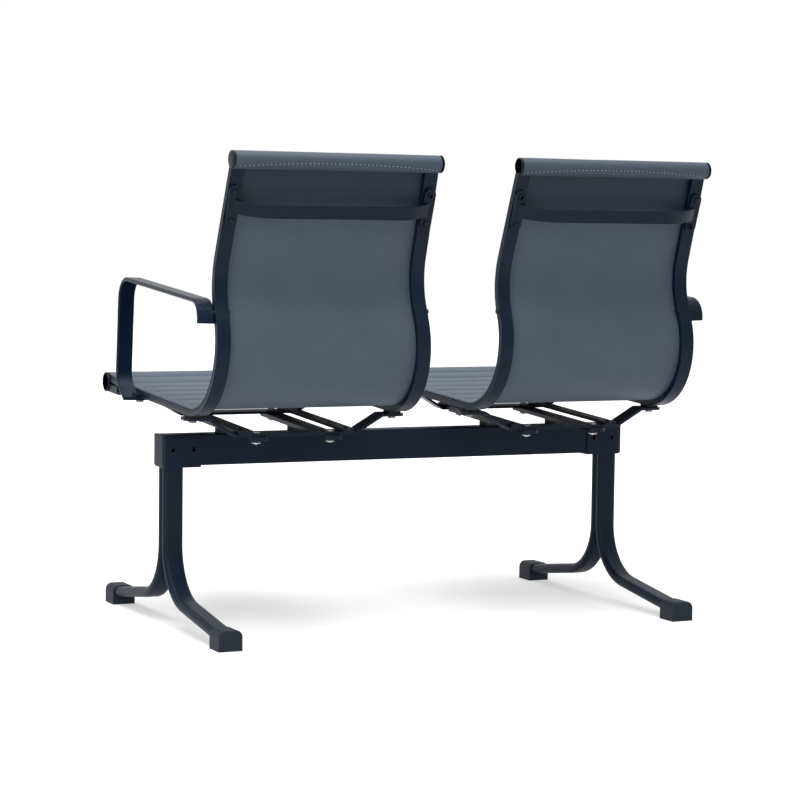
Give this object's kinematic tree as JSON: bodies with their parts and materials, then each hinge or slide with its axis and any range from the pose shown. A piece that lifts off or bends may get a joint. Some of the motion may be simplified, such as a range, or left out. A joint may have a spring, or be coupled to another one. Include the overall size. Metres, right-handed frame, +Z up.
{
  "type": "beam seating",
  "caption": "Two-seat beam seating with curved channelled sling seats on flat side rails, end armrests, a box beam and two splayed bent-tube legs.",
  "frame": {"origin": "centre of the object's bounding box, on the floor", "axes": "X along the beam (+X is a sitter's left), the seats face -Y, +Z up"},
  "size_m": [1.0642, 0.6816, 0.8926],
  "materials": {
    "sling_weave": "fine coated mesh weave, stitched channels",
    "frame_coating": "satin powder coat",
    "beam_coating": "satin powder coat",
    "black_moulding": "fine-grained moulding",
    "pad_rubber": "matt",
    "zinc_fasteners": "bright zinc plate"
  },
  "bodies": {
    "root": {"arm_bolts": "zinc_fasteners", "arm_hole_plugs": "black_moulding", "armrest_left": "frame_coating", "armrest_right": "frame_coating", "bar_screws": "zinc_fasteners", "beam_cap_left": "black_moulding", "beam_cap_right": "black_moulding", "beam_pads": "pad_rubber", "beam_screws": "zinc_fasteners", "beam_tube": "beam_coating", "foot_left_front": "black_moulding", "foot_left_rear": "black_moulding", "foot_right_front": "black_moulding", "foot_right_rear": "black_moulding", "front_roll_caps": "black_moulding", "leg_saddle_left": "beam_coating", "leg_saddle_right": "beam_coating", "leg_tube_left_front": "beam_coating", "leg_tube_left_rear": "beam_coating", "leg_tube_right_front": "beam_coating", "leg_tube_right_rear": "beam_coating", "rail_blocks": "pad_rubber", "rail_bolts": "zinc_fasteners", "saddle_screws": "zinc_fasteners", "seat_left_front_rod": "frame_coating", "seat_left_front_strap": "frame_coating", "seat_left_lower_bar_left": "frame_coating", "seat_left_lower_bar_right": "frame_coating", "seat_left_rail_left": "frame_coating", "seat_left_rail_right": "frame_coating", "seat_left_rear_strap": "frame_coating", "seat_left_sling": "sling_weave", "seat_left_spreader": "frame_coating", "seat_left_top_rod": "frame_coating", "seat_left_upper_bar_left": "frame_coating", "seat_left_upper_bar_right": "frame_coating", "seat_right_front_rod": "frame_coating", "seat_right_front_strap": "frame_coating", "seat_right_lower_bar_left": "frame_coating", "seat_right_lower_bar_right": "frame_coating", "seat_right_rail_left": "frame_coating", "seat_right_rail_right": "frame_coating", "seat_right_rear_strap": "frame_coating", "seat_right_sling": "sling_weave", "seat_right_spreader": "frame_coating", "seat_right_top_rod": "frame_coating", "seat_right_upper_bar_left": "frame_coating", "seat_right_upper_bar_right": "frame_coating", "spreader_screws": "zinc_fasteners", "strap_bolts": "zinc_fasteners", "strap_nuts": "zinc_fasteners", "top_roll_caps": "black_moulding"}
  },
  "joints": []
}
